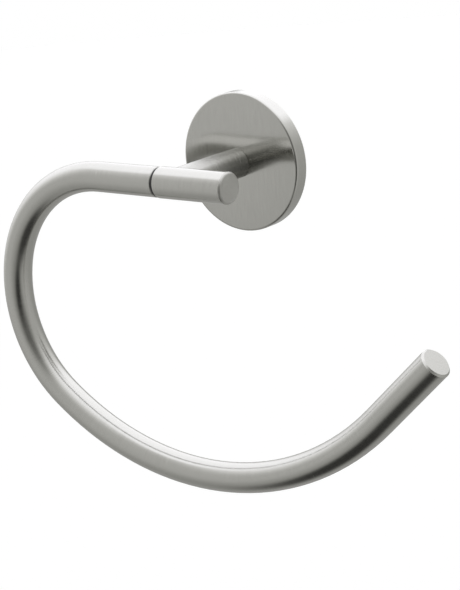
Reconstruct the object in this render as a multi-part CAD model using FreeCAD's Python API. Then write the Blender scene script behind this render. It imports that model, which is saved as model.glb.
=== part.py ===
# Towel ring: a round rosette on the wall, a short post, a crossbar parallel to the
# wall, and an open ring of bent tube that carries the crossbar's line on.
#
# Millimetres. The origin is the centre of the wall disc's back face. +X is to the
# right seen from the front, +Y goes into the wall, and +Z is up. The wall is the
# plane y = 0, and the whole object lies on its -Y side.
import FreeCAD, Part
import math
import os
from FreeCAD import Vector

# Driving dimensions

# Clearances, all per side
plug_clearance = 0.05
thread_clearance = 0.05
screw_hole_clearance = 0.15

# Lead-in chamfer on the ends of the stub and of the cap's plug
plug_chamfer = 0.4

# Rosette, the turned cover
rosette_radius = 28.0
rosette_face = 1.9
rosette_dome = 1.5
rosette_wall = 3.5
rosette_edge_round = 1.0
rosette_back_chamfer = 0.3

# Wall disc under the rosette
wall_disc_gap = 1.0
wall_disc_opening_radius = 8.0
wall_screw_spacing = 32.0
wall_screw_hole_radius = 2.5
wall_screw_sink_radius = 4.6
groove_depth = 1.3
groove_half_width = 1.3
wall_disc_edge_chamfer = 0.4

# Post between the rosette and the crossbar
post_radius = 5.9
post_key_radius = 4.0
post_key_flat = 3.3
post_key_length = 1.7
post_edge_chamfer = 0.3

# Screw through the post, with its washers
post_screw_radius = 2.5
post_screw_length = 45.0
post_screw_end_chamfer = 0.5
post_screw_head_radius = 4.75
post_screw_head_height = 2.75
post_screw_head_round = 2.2
post_screw_hex = 3.0
post_screw_hex_depth = 1.6
post_washer_radius = 5.0
post_washer_thickness = 1.0
lock_washer_radius = 4.8
lock_washer_thickness = 0.6
lock_washer_teeth = 10
lock_washer_tooth_depth = 1.0
head_recess = 0.15

# Crossbar
bar_offset = 46.0
bar_radius = 6.15
bar_free_end = 25.6
bar_seam_end = -7.4
bar_free_round = 1.0
bar_seam_chamfer = 0.25

# Stub that joins the ring to the crossbar
stub_shank_radius = 4.0
stub_shank_length = 14.0
stub_plug_length = 15.0
stub_thread_end_gap = 0.6
socket_end_gap = 0.4

# Black spacer in the seam
spacer_thickness = 1.1
spacer_radius = 5.7

# Ring of bent tube
tube_radius = 6.0
tube_wall = 1.0
tube_end_chamfer = 0.25
ring_bend_start = -39.3
tight_bend_radius = 52.5
tight_bend_degrees = 144.0
wide_bend_radius = 119.5
wide_bend_degrees = 82.0
ring_straight_end = 36.0

# Cap in the ring's open end
cap_head = 1.6
cap_chamfer = 0.7
cap_plug_length = 9.0

# Grub screws, hexagon socket with a cup point
grub_radius = 1.5
grub_hex = 1.5
grub_hex_depth = 1.3
grub_recess = 0.25
grub_point_radius = 0.7
grub_point_length = 0.8

# Sizes worked out from the driving dimensions
cavity_depth = post_washer_thickness + lock_washer_thickness + post_screw_head_height + head_recess
rim_depth = rosette_face + cavity_depth
dome_radius = (rosette_radius**2 + rosette_dome**2) / (2 * rosette_dome)
seat_radius = post_radius + 0.2
seat_drop = dome_radius - math.sqrt(dome_radius**2 - seat_radius**2)
rosette_depth = rim_depth + rosette_dome - seat_drop
cavity_radius = rosette_radius - rosette_wall
wall_disc_radius = cavity_radius - wall_disc_gap
groove_centre = cavity_depth / 2
socket_radius = stub_shank_radius + plug_clearance
socket_depth = stub_shank_length + socket_end_gap
bore_radius = tube_radius - tube_wall
plug_radius = bore_radius - plug_clearance
seam_outer = bar_seam_end - spacer_thickness
groove_seat = groove_depth * (1 - grub_point_radius / groove_half_width)
screw_seat = cavity_depth - post_washer_thickness - lock_washer_thickness
screw_clear_radius = post_screw_radius + screw_hole_clearance

# Directions and places used throughout
RIGHT = Vector(1, 0, 0)
LEFT = Vector(-1, 0, 0)
TO_WALL = Vector(0, 1, 0)
FROM_WALL = Vector(0, -1, 0)
UP = Vector(0, 0, 1)
DOWN = Vector(0, 0, -1)
ORIGIN = Vector(0, 0, 0)
overrun = 1.0


def rod(radius, length, start, direction):
    return Part.makeCylinder(radius, length, start, direction)


def turned(profile, start, direction):
    """A turned solid: profile points are (radius, distance along the axis)."""
    points = [Vector(radius, 0, along) for radius, along in profile]
    face = Part.Face(Part.makePolygon(points + points[:1]))
    solid = face.revolve(ORIGIN, UP, 360)
    solid.Placement = FreeCAD.Placement(start, FreeCAD.Rotation(UP, direction))
    return solid


def chamfered_rod(radius, length, start, direction, start_chamfer, end_chamfer):
    profile = [(0, 0), (radius - start_chamfer, 0), (radius, start_chamfer)]
    profile += [(radius, length - end_chamfer), (radius - end_chamfer, length), (0, length)]
    return turned(profile, start, direction)


def hex_prism(across_flats, length, start, direction):
    corner = across_flats / 2 / math.cos(math.radians(30))
    points = []
    for side in range(6):
        turn = math.radians(60 * side)
        points.append(Vector(corner * math.cos(turn), corner * math.sin(turn), 0))
    prism = Part.Face(Part.makePolygon(points + points[:1])).extrude(UP * length)
    prism.Placement = FreeCAD.Placement(start, FreeCAD.Rotation(UP, direction))
    return prism


def two_flats(radius, flat, length, start):
    """A round key along the post's axis with a flat above and below."""
    key = rod(radius, length, start, TO_WALL)
    box = Part.makeBox(4 * radius, 4 * length, 2 * flat, start + Vector(-2 * radius, -2 * length, -flat))
    return key.common(box)


def grub_screw(length, tip, direction):
    """Hexagon socket set screw. tip is the point's centre, direction goes to the socket."""
    radius = grub_radius - thread_clearance
    profile = [(0, 0), (grub_point_radius, 0), (radius, grub_point_length), (radius, length), (0, length)]
    screw = turned(profile, tip, direction)
    socket_start = tip + direction * (length - grub_hex_depth)
    return screw.cut(hex_prism(grub_hex, grub_hex_depth + overrun, socket_start, direction))


# Wall disc: screwed to the wall, two countersunk holes in line, groove round the edge
def wall_disc():
    chamfer = wall_disc_edge_chamfer
    profile = [(wall_disc_opening_radius, 0), (wall_disc_radius - chamfer, 0), (wall_disc_radius, chamfer)]
    profile += [(wall_disc_radius, groove_centre - groove_half_width)]
    profile += [(wall_disc_radius - groove_depth, groove_centre)]
    profile += [(wall_disc_radius, groove_centre + groove_half_width)]
    profile += [(wall_disc_radius, cavity_depth - chamfer), (wall_disc_radius - chamfer, cavity_depth)]
    profile += [(wall_disc_opening_radius, cavity_depth)]
    disc = turned(profile, ORIGIN, FROM_WALL)
    sink_depth = wall_screw_sink_radius - wall_screw_hole_radius
    for side in (-1, 1):
        place = Vector(side * wall_screw_spacing / 2, 0, 0)
        hole = rod(wall_screw_hole_radius, cavity_depth + 2 * overrun, place + TO_WALL * overrun, FROM_WALL)
        sink = Part.makeCone(
            wall_screw_hole_radius,
            wall_screw_sink_radius + overrun,
            sink_depth + overrun,
            place + FROM_WALL * (cavity_depth - sink_depth),
            FROM_WALL,
        )
        disc = disc.cut(hole).cut(sink)
    return disc


# Rosette: turned cup over the wall disc, its face slightly domed with a flat seat for the post,
# a keyed hole for the post and a thread for the grub screw
def rosette():
    chamfer = rosette_back_chamfer
    profile = [(0, cavity_depth), (cavity_radius, cavity_depth), (cavity_radius, 0)]
    profile += [(rosette_radius - chamfer, 0), (rosette_radius, chamfer)]
    profile += [(rosette_radius, rosette_depth), (0, rosette_depth)]
    cup = turned(profile, ORIGIN, FROM_WALL)
    dome_centre = TO_WALL * (dome_radius - rim_depth - rosette_dome)
    cup = cup.common(Part.makeSphere(dome_radius, dome_centre))
    front_edge = [edge for edge in cup.Edges if is_front_rim(edge)]
    cup = cup.makeFillet(rosette_edge_round, front_edge)
    key_radius = post_key_radius + plug_clearance
    key_flat = post_key_flat + plug_clearance
    key_start = FROM_WALL * (rosette_depth + overrun)
    keyhole = two_flats(key_radius, key_flat, rosette_depth - cavity_depth + 2 * overrun, key_start)
    thread = rod(grub_radius, rosette_radius + overrun, FROM_WALL * groove_centre, DOWN)
    return cup.cut(keyhole).cut(thread)


def is_front_rim(edge):
    box = edge.BoundBox
    at_rim = abs(box.YMax + rim_depth) < 1e-6 and abs(box.YMin + rim_depth) < 1e-6
    return at_rim and abs(box.XMax - rosette_radius) < 1e-6


# Grub screw in the rosette's underside: its point draws the rosette on to the disc's groove
def rosette_grub_screw():
    tip_height = wall_disc_radius - groove_seat + plug_clearance
    length = rosette_radius - grub_recess - tip_height
    tip = Vector(0, -groove_centre, -tip_height)
    return grub_screw(length, tip, DOWN)


# Post: coped over the crossbar in front, keyed into the rosette behind, bored for its screw
def post():
    start = FROM_WALL * rosette_depth
    body = chamfered_rod(post_radius, bar_offset - rosette_depth, start, FROM_WALL, post_edge_chamfer, 0)
    body = body.fuse(two_flats(post_key_radius, post_key_flat, post_key_length, start))
    cope = rod(bar_radius, 4 * post_radius, Vector(-2 * post_radius, -bar_offset, 0), RIGHT)
    bore = rod(screw_clear_radius, bar_offset, ORIGIN, FROM_WALL)
    return body.cut(cope).cut(bore)


def washer(outer, inner, thickness, start):
    ring = rod(outer, thickness, start, TO_WALL)
    return ring.cut(rod(inner, thickness + 2 * overrun, start + FROM_WALL * overrun, TO_WALL))


# Plain washer against the rosette's inside face
def post_washer():
    start = FROM_WALL * cavity_depth
    return washer(post_washer_radius, screw_clear_radius, post_washer_thickness, start)


# Lock washer with outside teeth, between the plain washer and the screw's head
def post_lock_washer():
    start = FROM_WALL * (cavity_depth - post_washer_thickness)
    ring = washer(lock_washer_radius, screw_clear_radius, lock_washer_thickness, start)
    notch_width = math.pi * lock_washer_radius / lock_washer_teeth
    for tooth in range(lock_washer_teeth):
        notch = Part.makeBox(
            2 * lock_washer_tooth_depth,
            lock_washer_thickness + 2 * overrun,
            notch_width,
            Vector(lock_washer_radius - lock_washer_tooth_depth, start.y - overrun, -notch_width / 2),
        )
        notch.rotate(ORIGIN, TO_WALL, 360 * tooth / lock_washer_teeth)
        ring = ring.cut(notch)
    return ring


# Post screw: button head with a hexagon socket, tip in the thread of the ring's stub
def post_screw():
    seat = FROM_WALL * screw_seat
    shank_radius = post_screw_radius - thread_clearance
    shank = chamfered_rod(shank_radius, post_screw_length, seat, FROM_WALL, 0, post_screw_end_chamfer)
    head = rod(post_screw_head_radius, post_screw_head_height, seat, TO_WALL)
    crown = [edge for edge in head.Edges if edge.BoundBox.YMin > seat.y + post_screw_head_height / 2]
    head = head.makeFillet(post_screw_head_round, crown)
    socket_start = seat + TO_WALL * (post_screw_head_height - post_screw_hex_depth)
    socket = hex_prism(post_screw_hex, post_screw_hex_depth + overrun, socket_start, TO_WALL)
    return shank.fuse(head).cut(socket)


# Crossbar: solid bar, a socket in its seam end, a hole behind that lets the post screw in
def crossbar():
    length = bar_free_end - bar_seam_end
    start = Vector(bar_seam_end, -bar_offset, 0)
    bar = chamfered_rod(bar_radius, length, start, RIGHT, bar_seam_chamfer, 0)
    free_edge = [edge for edge in bar.Edges if abs(edge.BoundBox.XMin - bar_free_end) < 1e-6]
    bar = bar.makeFillet(bar_free_round, free_edge)
    bar = bar.cut(rod(socket_radius, socket_depth + overrun, start + LEFT * overrun, RIGHT))
    hole_start = FROM_WALL * (bar_offset - bar_radius - overrun)
    return bar.cut(rod(screw_clear_radius, bar_radius + overrun, hole_start, FROM_WALL))


# Ring stub: shank in the crossbar's socket, tapped across for the post screw, and a plug in the tube
def ring_stub():
    shank_start = Vector(bar_seam_end + stub_shank_length, -bar_offset, 0)
    shoulder = stub_shank_length + spacer_thickness
    profile = [(0, 0), (stub_shank_radius - plug_chamfer, 0), (stub_shank_radius, plug_chamfer)]
    profile += [(stub_shank_radius, shoulder), (plug_radius, shoulder)]
    profile += [(plug_radius, shoulder + stub_plug_length - plug_chamfer)]
    profile += [(plug_radius - plug_chamfer, shoulder + stub_plug_length), (0, shoulder + stub_plug_length)]
    stub = turned(profile, shank_start, LEFT)
    thread_start = bar_offset - stub_shank_radius - overrun
    thread_length = screw_seat + post_screw_length + stub_thread_end_gap - thread_start
    return stub.cut(rod(post_screw_radius, thread_length, FROM_WALL * thread_start, FROM_WALL))


# Black spacer between the crossbar's end and the ring's end
def seam_spacer():
    start = Vector(bar_seam_end, -bar_offset, 0)
    ring = rod(spacer_radius, spacer_thickness, start, LEFT)
    return ring.cut(rod(socket_radius, spacer_thickness + 2 * overrun, start + RIGHT * overrun, LEFT))


def ring_path():
    """Centreline of the ring from the seam to the tube's open end, in the plane y = -bar_offset."""
    heading = math.pi
    place = Vector(ring_bend_start, -bar_offset, 0)
    edges = [Part.makeLine(Vector(seam_outer, -bar_offset, 0), place)]
    for radius, degrees in ((tight_bend_radius, tight_bend_degrees), (wide_bend_radius, wide_bend_degrees)):
        turn = math.radians(degrees)
        centre = place + Vector(-math.sin(heading), 0, math.cos(heading)) * radius
        points = [place]
        for part_turn in (turn / 2, turn):
            angle = heading + part_turn
            points.append(centre + Vector(math.sin(angle), 0, -math.cos(angle)) * radius)
        edges.append(Part.Arc(*points).toShape())
        place = points[-1]
        heading += turn
    direction = Vector(math.cos(heading), 0, math.sin(heading))
    tube_end = place + direction * (ring_straight_end - cap_head)
    edges.append(Part.makeLine(place, tube_end))
    return edges, tube_end, direction


def swept(radius, edges):
    start = edges[0].Vertexes[0].Point
    profile = Part.Wire(Part.makeCircle(radius, start, LEFT))
    return Part.Wire(edges).makePipeShell([profile], True, False)


# Ring tube: straight start, tight bend, wide bend and straight end, all in one piece
def ring_tube():
    edges, tube_end, direction = ring_path()
    tube = swept(tube_radius, edges).cut(swept(bore_radius, edges))
    seam_edge = [edge for edge in tube.Edges if is_seam_edge(edge)]
    return tube.makeChamfer(tube_end_chamfer, seam_edge)


def is_seam_edge(edge):
    at_seam = abs(edge.BoundBox.XMin - seam_outer) < 1e-6 and abs(edge.BoundBox.XMax - seam_outer) < 1e-6
    return at_seam and abs(edge.BoundBox.ZMax - tube_radius) < 1e-3


# Cap that closes the open end: chamfered head as wide as the tube, plug in its bore
def ring_end_cap():
    edges, tube_end, direction = ring_path()
    profile = [(0, -cap_plug_length), (plug_radius - plug_chamfer, -cap_plug_length)]
    profile += [(plug_radius, plug_chamfer - cap_plug_length), (plug_radius, 0), (tube_radius, 0)]
    profile += [(tube_radius, cap_head - cap_chamfer), (tube_radius - cap_chamfer, cap_head), (0, cap_head)]
    return turned(profile, tube_end, direction)


nodes = {
    "wall_disc": wall_disc,
    "rosette": rosette,
    "rosette_grub_screw": rosette_grub_screw,
    "post": post,
    "post_washer": post_washer,
    "post_lock_washer": post_lock_washer,
    "post_screw": post_screw,
    "crossbar": crossbar,
    "ring_stub": ring_stub,
    "seam_spacer": seam_spacer,
    "ring_tube": ring_tube,
    "ring_end_cap": ring_end_cap,
}

os.makedirs("parts", exist_ok=True)
for name, make in nodes.items():
    shape = make()
    shape.exportStep(os.path.join("parts", name + ".step"))
    print(name, len(shape.Solids), shape.isValid(), round(shape.Volume, 1))
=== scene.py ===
import math

import bpy
from mathutils import Matrix, Vector

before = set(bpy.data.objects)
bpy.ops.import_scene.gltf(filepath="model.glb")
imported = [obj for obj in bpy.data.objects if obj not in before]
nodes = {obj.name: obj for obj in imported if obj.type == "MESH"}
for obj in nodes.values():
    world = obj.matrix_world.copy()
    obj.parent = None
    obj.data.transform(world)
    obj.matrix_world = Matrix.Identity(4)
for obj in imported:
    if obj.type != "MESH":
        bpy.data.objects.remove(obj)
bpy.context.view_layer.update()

# Camera, from the photograph
photo_width = 460
photo_height = 590
focal_length_px = 1614.7
camera_azimuth = 38.86
camera_elevation = 16.02
camera_roll = -4.51
origin_px = (249.19, 159.19)
origin_depth = 0.6452
sensor_width = 36.0

# Sizes of the solids, for marks that follow their forms
rosette_radius = 0.028
crossbar_axis_y = -0.046
bar_free_end = 0.0256
bar_free_round = 0.001
ring_bend_start = -0.0393
tight_bend_radius = 0.0525
tight_bend_degrees = 144.0
wide_bend_radius = 0.1195
wide_bend_degrees = 82.0
tube_radius = 0.006

# The tube is shaded as exactly round where its mesh lies no further inside the true radius than
# the first of these, and as the mesh is where it lies further inside than the second.
round_margin = 0.00005
round_margin_end = 0.00012

# Studio: one plain level for matt surfaces, and the surroundings that metal shows. These are the
# level below, beside and above the part, then the light and dark areas that are laid over it.
# Angles are seen from the part, azimuth 0 towards the camera and growing to its right.
plain_level = 0.88
level_below = 0.5
level_beside = 0.5
level_above = 1.7
studio_areas = [
    # wall to the right of the camera
    {"azimuth": 65, "elevation": 5, "radius": 40, "edge": 30, "level": 0.7},
    # dark room behind the camera, and the black gap under it
    {"azimuth": -5, "elevation": 10, "radius": 35, "edge": 25, "level": 0.2},
    {"azimuth": -5, "elevation": -18, "radius": 18, "edge": 10, "level": 0.03},
    # wall to the left of the camera
    {"azimuth": -90, "elevation": 20, "radius": 48, "edge": 22, "level": 0.75},
    # black edge of the table, in front
    {"azimuth": -20, "elevation": -65, "radius": 28, "edge": 12, "level": 0.05},
    # lamp above and behind the part, with a crisp edge
    {"azimuth": 180, "elevation": 55, "radius": 45, "edge": 7, "level": 1.9},
    # soft lamp behind on the left
    {"azimuth": -140, "elevation": 30, "radius": 30, "edge": 25, "level": 1.8},
]

# Height, in a direction one unit long, from which the studio has the level above
level_above_height = 0.8

# The studio's light, a little warm where it is dim and cool where it is bright
bright_level = 1.8
blue_when_dim = 0.95
blue_when_bright = 1.05
white = (1.0, 1.0, 1.0)

# Floor, far enough down that the part's shadow on it is faint
floor_height = -0.42
floor_radius = 4.0
floor_sides = 96
floor_shades = (0.78, 0.82)
floor_speckle = 300.0
floor_lift = 0.3
part_middle = (0.0, crossbar_axis_y, -0.06)

# Metals: the steel's colour, then the values of the marks' pattern between which tone and
# roughness change, the factors on them there, and the height of the fine marks as a share of
# the coarse ones.
steel = (0.470, 0.467, 0.440)
pattern_for_tone = (0.25, 0.75)
tone_range = (0.955, 1.045)
pattern_for_roughness = (0.2, 0.8)
roughness_range = (0.85, 1.2)
fine_share = 0.6

# Sizes of the marks: along the tube or bar, then the two directions across it
tube_marks = (0.00035, 0.006, 0.006)
tube_fine_marks = (0.00012, 0.002, 0.002)

# Sizes of the other marks: the post and the rosette's face along x, y and z, and the rosette's
# rim round it, along its depth and out from its centre
post_marks = (0.006, 0.00014, 0.006)
post_fine_marks = (0.002, 0.00006, 0.002)
face_marks = (0.00045, 0.00045, 0.012)
face_fine_marks = (0.00012, 0.00012, 0.004)
rim_marks = (0.012, 0.00035, 0.00035)
rim_fine_marks = (0.004, 0.00012, 0.00012)

# The face is where the rosette faces at least this far to the front
face_front = -0.9

# Size of the turning marks on small pieces, out from their axis and along it
turned_mark = 0.00025

# Darkest and palest shade of the black spacer
black_shades = (0.012, 0.030)


class Shader:
    """Builds one node tree, one short call for each node."""

    def __init__(self, tree):
        self.tree = tree
        self.tree.nodes.clear()

    def put(self, socket, value):
        if isinstance(value, bpy.types.NodeSocket):
            self.tree.links.new(value, socket)
        else:
            socket.default_value = value

    def node(self, kind, inputs=None, output=0, **settings):
        node = self.tree.nodes.new("ShaderNode" + kind)
        for name, value in settings.items():
            setattr(node, name, value)
        for key, value in (inputs or {}).items():
            self.put(node.inputs[key], value)
        return node.outputs[output]

    def finish(self, kind, surface):
        output = self.tree.nodes.new("ShaderNode" + kind)
        self.put(output.inputs["Surface"], surface)

    def math(self, operation, first, second=0.0):
        return self.node("Math", {0: first, 1: second}, operation=operation)

    def vector(self, operation, first, second=(0.0, 0.0, 0.0), output="Vector"):
        return self.node("VectorMath", {0: first, 1: second}, output, operation=operation)

    def dot(self, first, second):
        return self.vector("DOT_PRODUCT", first, second, "Value")

    def length(self, vector):
        return self.vector("LENGTH", vector, output="Value")

    def unit(self, vector):
        return self.vector("NORMALIZE", vector)

    def split(self, vector):
        node = self.tree.nodes.new("ShaderNodeSeparateXYZ")
        self.put(node.inputs[0], vector)
        return node.outputs

    def join(self, x, y, z):
        return self.node("CombineXYZ", {0: x, 1: y, 2: z})

    def even(self, value):
        """The same value three times, as a grey."""
        return self.join(value, value, value)

    def ramp(self, value, low, high, to_low, to_high, kind="LINEAR"):
        inputs = {"Value": value, "From Min": low, "From Max": high, "To Min": to_low, "To Max": to_high}
        return self.node("MapRange", inputs, interpolation_type=kind)

    def smooth(self, value, low, high, to_low=0.0, to_high=1.0):
        return self.ramp(value, low, high, to_low, to_high, "SMOOTHSTEP")

    def blend(self, factor, first, second):
        change = self.math("SUBTRACT", second, first)
        return self.math("ADD", first, self.math("MULTIPLY", factor, change))

    def choose(self, factor, first, second):
        """A blend of two vectors."""
        change = self.vector("SUBTRACT", second, first)
        return self.vector("ADD", first, self.vector("MULTIPLY", self.even(factor), change))

    def noise(self, vector, scale, detail=2.0):
        return self.node("TexNoise", {"Vector": vector, "Scale": scale, "Detail": detail}, "Fac")

    def seen_or_through(self):
        """1 for what the camera sees, straight or through glass."""
        seen = self.node("LightPath", output="Is Camera Ray")
        through = self.node("LightPath", output="Is Transmission Ray")
        return self.math("MAXIMUM", seen, through)

    def mirrored(self):
        """1 for what a glossy surface mirrors."""
        return self.node("LightPath", output="Is Glossy Ray")

    def place(self):
        return self.node("NewGeometry", output="Position")


def new_material(name):
    material = bpy.data.materials.new(name)
    material.use_nodes = True
    return material, Shader(material.node_tree)


def direction(azimuth, elevation):
    turn = math.radians(camera_azimuth + azimuth)
    rise = math.radians(elevation)
    return Vector((math.sin(turn) * math.cos(rise), -math.cos(turn) * math.cos(rise), math.sin(rise)))


def studio_level(shader, towards):
    """How bright the studio is in a direction from the part."""
    height = shader.split(towards)[2]
    low = shader.smooth(height, -1.0, 0.0, level_below, level_beside)
    high = shader.smooth(height, 0.0, level_above_height, 0.0, level_above - level_beside)
    level = shader.math("ADD", low, high)
    for area in studio_areas:
        aim = direction(area["azimuth"], area["elevation"])
        angle = shader.math("ARCCOSINE", shader.dot(towards, aim))
        outer = math.radians(area["radius"] + area["edge"])
        inner = math.radians(area["radius"] - area["edge"])
        inside = shader.smooth(angle, outer, inner)
        level = shader.blend(inside, level, area["level"])
    return level


def studio_light(shader, towards):
    """The colour and strength of the studio's light in a direction from the part."""
    level = studio_level(shader, towards)
    blue = shader.ramp(level, 0.0, bright_level, blue_when_dim, blue_when_bright)
    return shader.join(level, level, shader.math("MULTIPLY", level, blue))


def add_camera():
    turn = Matrix.Rotation(math.radians(camera_azimuth), 4, "Z")
    tilt = Matrix.Rotation(math.radians(90 - camera_elevation), 4, "X")
    roll = Matrix.Rotation(math.radians(camera_roll), 4, "Z")
    facing = turn @ tilt @ roll
    right = (origin_px[0] - photo_width / 2) / focal_length_px * origin_depth
    up = (photo_height / 2 - origin_px[1]) / focal_length_px * origin_depth
    data = bpy.data.cameras.new("camera")
    data.sensor_width = sensor_width
    data.lens = focal_length_px / photo_height * sensor_width
    data.clip_start = 0.01
    data.clip_end = 50.0
    camera = bpy.data.objects.new("camera", data)
    camera.matrix_world = Matrix.Translation(facing @ Vector((-right, -up, origin_depth))) @ facing
    bpy.context.scene.collection.objects.link(camera)
    bpy.context.scene.camera = camera


def add_world():
    """White where it is seen, the studio where metal mirrors it, and one level for matt surfaces."""
    world = bpy.data.worlds.new("studio")
    world.use_nodes = True
    bpy.context.scene.world = world
    shader = Shader(world.node_tree)
    towards = shader.node("TexCoord", output="Generated")
    plain = (plain_level, plain_level, plain_level)
    light = shader.choose(shader.mirrored(), plain, studio_light(shader, towards))
    light = shader.choose(shader.seen_or_through(), light, white)
    surface = shader.node("Background", {"Color": light, "Strength": 1.0})
    shader.finish("OutputWorld", surface)


def floor_mesh():
    data = bpy.data.meshes.new("floor")
    corners = []
    for index in range(floor_sides):
        angle = 2 * math.pi * index / floor_sides
        corners.append((floor_radius * math.cos(angle), floor_radius * math.sin(angle), floor_height))
    data.from_pydata(corners, [], [list(range(floor_sides))])
    return data


def pale_floor():
    """A pale matt floor, which metal mirrors as the studio that lies in that direction."""
    material, shader = new_material("pale_floor")
    place = shader.place()
    shade = shader.ramp(shader.noise(place, floor_speckle), 0.0, 1.0, *floor_shades)
    diffuse = shader.node("BsdfDiffuse", {"Color": shader.even(shade)})
    lift = shader.math("MULTIPLY", shader.seen_or_through(), floor_lift)
    lit = shader.node("AddShader", {0: diffuse, 1: shader.node("Emission", {"Strength": lift})})
    towards = shader.unit(shader.vector("SUBTRACT", place, part_middle))
    light = shader.node("Emission", {"Color": studio_light(shader, towards), "Strength": 1.0})
    surface = shader.node("MixShader", {0: shader.mirrored(), 1: lit, 2: light})
    shader.finish("OutputMaterial", surface)
    return material


def add_floor():
    floor = bpy.data.objects.new("floor", floor_mesh())
    floor.data.materials.append(pale_floor())
    bpy.context.scene.collection.objects.link(floor)


def grain_of(shader, place, sizes):
    """Marks of the given sizes along the three directions of a place, in metres."""
    x, y, z = (shader.math("MULTIPLY", part, 1.0 / size) for part, size in zip(place, sizes))
    return shader.noise(shader.join(x, y, z), scale=1.0)


def finish_metal(shader, colour, grain, fine, roughness, relief, spread=None, stretch=0.0, outward=None):
    """A metal whose tone, gloss and relief follow a grain pattern and a finer one.

    relief is the height of the marks. spread is the direction across them, in which reflections
    are drawn out, and stretch says how far. outward is the exact direction away from a round
    surface, where the mesh only comes near to it.
    """
    tone = shader.ramp(grain, *pattern_for_tone, *tone_range)
    base = shader.vector("MULTIPLY", colour, shader.even(tone))
    change = shader.ramp(grain, *pattern_for_roughness, *roughness_range)
    rough = shader.math("MULTIPLY", change, roughness)
    height = shader.math("ADD", grain, shader.math("MULTIPLY", fine, fine_share))
    bump = {"Strength": 1.0, "Distance": relief, "Height": height}
    if outward is not None:
        bump["Normal"] = outward
    normal = shader.node("Bump", bump)
    inputs = {"Base Color": base, "Metallic": 1.0, "Roughness": rough, "Normal": normal}
    if spread is not None:
        inputs["Anisotropic"] = stretch
        inputs["Tangent"] = spread
    surface = shader.node("BsdfPrincipled", inputs)
    shader.finish("OutputMaterial", surface)


def ring_bends():
    """Each bend's centre and radius, and the place and heading at its end, as x and z."""
    heading = math.pi
    place = Vector((ring_bend_start, 0.0))
    bends = []
    for radius, degrees in ((tight_bend_radius, tight_bend_degrees), (wide_bend_radius, wide_bend_degrees)):
        centre = place + Vector((-math.sin(heading), math.cos(heading))) * radius
        heading += math.radians(degrees)
        place = centre + Vector((math.sin(heading), -math.cos(heading))) * radius
        bends.append((centre, radius, place, Vector((math.cos(heading), math.sin(heading)))))
    return bends


def tube_place(shader, place):
    """Where a point of the ring's tube lies, and the directions there.

    The first three are how far it is along the tube, out from the bends' centres, and from front
    to back. Then come the tube's heading and the way out from its axis.
    """
    x, y, z = shader.split(place)
    in_plane = shader.join(x, z, 0.0)

    def offset(point):
        return shader.vector("SUBTRACT", in_plane, (*point, 0.0))

    def bend(centre, radius):
        from_centre = offset(centre)
        dx, dz, _ = shader.split(from_centre)
        along = shader.math("MULTIPLY", shader.math("ARCTAN2", dz, dx), radius)
        out = shader.math("SUBTRACT", shader.length(from_centre), radius)
        return along, out, shader.unit(shader.join(dx, 0.0, dz))

    tight, wide = ring_bends()
    tight_along, tight_out, tight_away = bend(*tight[:2])
    wide_along, wide_out, wide_away = bend(*wide[:2])
    tight_end, tight_heading = tight[2:]
    wide_end, wide_heading = wide[2:]
    end_side = (wide_heading[1], -wide_heading[0])
    end_along = shader.dot(offset(wide_end), (*wide_heading, 0.0))
    end_out = shader.dot(offset(wide_end), (*end_side, 0.0))

    past_tight = shader.dot(offset(tight_end), (*tight_heading, 0.0))
    in_wide = shader.math("GREATER_THAN", past_tight, 0.0)
    in_end = shader.math("MULTIPLY", in_wide, shader.math("GREATER_THAN", end_along, 0.0))
    in_start = shader.math("GREATER_THAN", shader.math("SUBTRACT", x, in_wide), ring_bend_start)

    along = shader.blend(in_start, shader.blend(in_wide, tight_along, wide_along), x)
    along = shader.blend(in_end, along, end_along)
    out = shader.blend(in_start, shader.blend(in_wide, tight_out, wide_out), z)
    out = shader.blend(in_end, out, end_out)
    away = shader.choose(in_wide, tight_away, wide_away)
    away = shader.choose(in_start, away, (0.0, 0.0, 1.0))
    away = shader.choose(in_end, away, (end_side[0], 0.0, end_side[1]))

    depth = shader.math("SUBTRACT", y, crossbar_axis_y)
    heading = shader.vector("CROSS_PRODUCT", away, (0.0, 1.0, 0.0))
    from_axis = shader.vector("MULTIPLY", away, shader.join(out, 0.0, out))
    from_axis = shader.vector("ADD", from_axis, shader.join(0.0, depth, 0.0))
    return along, out, depth, heading, from_axis


def exact_outward(shader, from_axis, radius):
    """The exact direction away from an axis, on the outside of a tube of that radius."""
    mesh = shader.node("NewGeometry", output="Normal")
    reach = shader.length(from_axis)
    on_outside = shader.smooth(reach, radius - round_margin_end, radius - round_margin)
    return shader.unit(shader.choose(on_outside, mesh, shader.unit(from_axis)))


def brushed_tube():
    """Marks that run round the tube and follow it through its bends."""
    material, shader = new_material("brushed_tube")
    along, out, depth, heading, from_axis = tube_place(shader, shader.place())
    grain = grain_of(shader, (along, out, depth), tube_marks)
    fine = grain_of(shader, (along, out, depth), tube_fine_marks)
    outward = exact_outward(shader, from_axis, tube_radius)
    finish_metal(shader, steel, grain, fine, roughness=0.23, relief=0.0000008, spread=heading, stretch=0.45,
                 outward=outward)
    return material


def brushed_bar():
    """Marks that run round the bar, and a duller free end with its rounded edge."""
    material, shader = new_material("brushed_bar")
    x, y, z = shader.split(shader.place())
    grain = grain_of(shader, (x, y, z), tube_marks)
    fine = grain_of(shader, (x, y, z), tube_fine_marks)
    on_end = shader.math("GREATER_THAN", x, bar_free_end - bar_free_round)
    roughness = shader.blend(on_end, 0.20, 0.46)
    spread = shader.join(1.0, 0.0, 0.0)
    finish_metal(shader, steel, grain, fine, roughness, relief=0.0000008, spread=spread, stretch=0.60)
    return material


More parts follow.
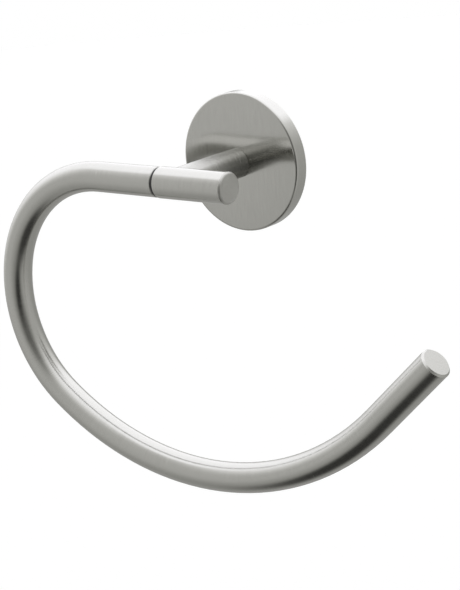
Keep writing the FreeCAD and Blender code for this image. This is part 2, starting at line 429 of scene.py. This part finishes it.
def brushed_post():
    """Close marks that run round the post."""
    material, shader = new_material("brushed_post")
    x, y, z = shader.split(shader.place())
    grain = grain_of(shader, (x, y, z), post_marks)
    fine = grain_of(shader, (x, y, z), post_fine_marks)
    spread = shader.join(0.0, 1.0, 0.0)
    finish_metal(shader, steel, grain, fine, roughness=0.24, relief=0.0000001, spread=spread, stretch=0.92)
    return material


def brushed_rosette():
    """Upright grain on the flat face, and turning marks round the rim."""
    material, shader = new_material("brushed_rosette")
    x, y, z = shader.split(shader.place())
    facing = shader.split(shader.node("NewGeometry", output="True Normal"))[1]
    on_face = shader.math("LESS_THAN", facing, face_front)
    face = grain_of(shader, (x, y, z), face_marks)
    face_fine = grain_of(shader, (x, y, z), face_fine_marks)
    radius = shader.length(shader.join(x, z, 0.0))
    turn = shader.math("MULTIPLY", shader.math("ARCTAN2", z, x), rosette_radius)
    rim = grain_of(shader, (turn, y, radius), rim_marks)
    rim_fine = grain_of(shader, (turn, y, radius), rim_fine_marks)
    grain = shader.blend(on_face, rim, face)
    fine = shader.blend(on_face, rim_fine, face_fine)
    spread = shader.join(on_face, shader.math("SUBTRACT", 1.0, on_face), 0.0)
    finish_metal(shader, steel, grain, fine, roughness=0.16, relief=0.0000003, spread=spread, stretch=0.80)
    return material


def brushed_cap():
    """A fine even grain on the ring's end face."""
    material, shader = new_material("brushed_cap")
    place = shader.place()
    grain = shader.noise(place, scale=2600.0)
    fine = shader.noise(place, scale=9000.0)
    finish_metal(shader, steel, grain, fine, roughness=0.24, relief=0.0000006)
    return material


def turned_metal(name, colour, roughness):
    """A small turned piece: fine rings about the axis that runs into the wall."""
    material, shader = new_material(name)
    place = shader.place()
    x, y, z = shader.split(place)
    radius = shader.length(shader.join(x, z, 0.0))
    grain = grain_of(shader, (0.0, radius, y), (turned_mark, turned_mark, turned_mark))
    fine = shader.noise(place, scale=6000.0)
    finish_metal(shader, colour, grain, fine, roughness, relief=0.000002)
    return material


def mottled_metal(name, colour, roughness, scale):
    """A plated or oiled piece: soft patches and a fine grain."""
    material, shader = new_material(name)
    place = shader.place()
    grain = shader.noise(place, scale, detail=3.0)
    fine = shader.noise(place, scale=7000.0)
    finish_metal(shader, colour, grain, fine, roughness, relief=0.000002)
    return material


def black_spacer():
    """Matt black, with a faint grain."""
    material, shader = new_material("black_spacer")
    grain = shader.noise(shader.place(), scale=3000.0)
    shade = shader.ramp(grain, 0.0, 1.0, *black_shades)
    normal = shader.node("Bump", {"Strength": 1.0, "Distance": 0.000004, "Height": grain})
    inputs = {"Base Color": shader.even(shade), "Roughness": 0.6, "Normal": normal}
    surface = shader.node("BsdfPrincipled", inputs)
    shader.finish("OutputMaterial", surface)
    return material


def give_finishes():
    screws = turned_metal("screw_steel", (0.44, 0.44, 0.43), 0.28)
    finishes = {
        "rosette": brushed_rosette(),
        "post": brushed_post(),
        "crossbar": brushed_bar(),
        "ring_tube": brushed_tube(),
        "ring_end_cap": brushed_cap(),
        "seam_spacer": black_spacer(),
        "wall_disc": mottled_metal("plated_disc", (0.47, 0.48, 0.47), 0.34, 900.0),
        "post_washer": turned_metal("plated_washer", (0.48, 0.49, 0.49), 0.3),
        "post_lock_washer": mottled_metal("spring_steel", (0.20, 0.20, 0.21), 0.36, 2500.0),
        "ring_stub": mottled_metal("turned_steel", (0.42, 0.42, 0.41), 0.3, 2500.0),
        "post_screw": screws,
        "rosette_grub_screw": screws,
    }
    for name, material in finishes.items():
        for slot in nodes[name].material_slots:
            slot.material = material


add_camera()
add_world()
add_floor()
give_finishes()
bpy.context.scene.view_settings.view_transform = "Standard"
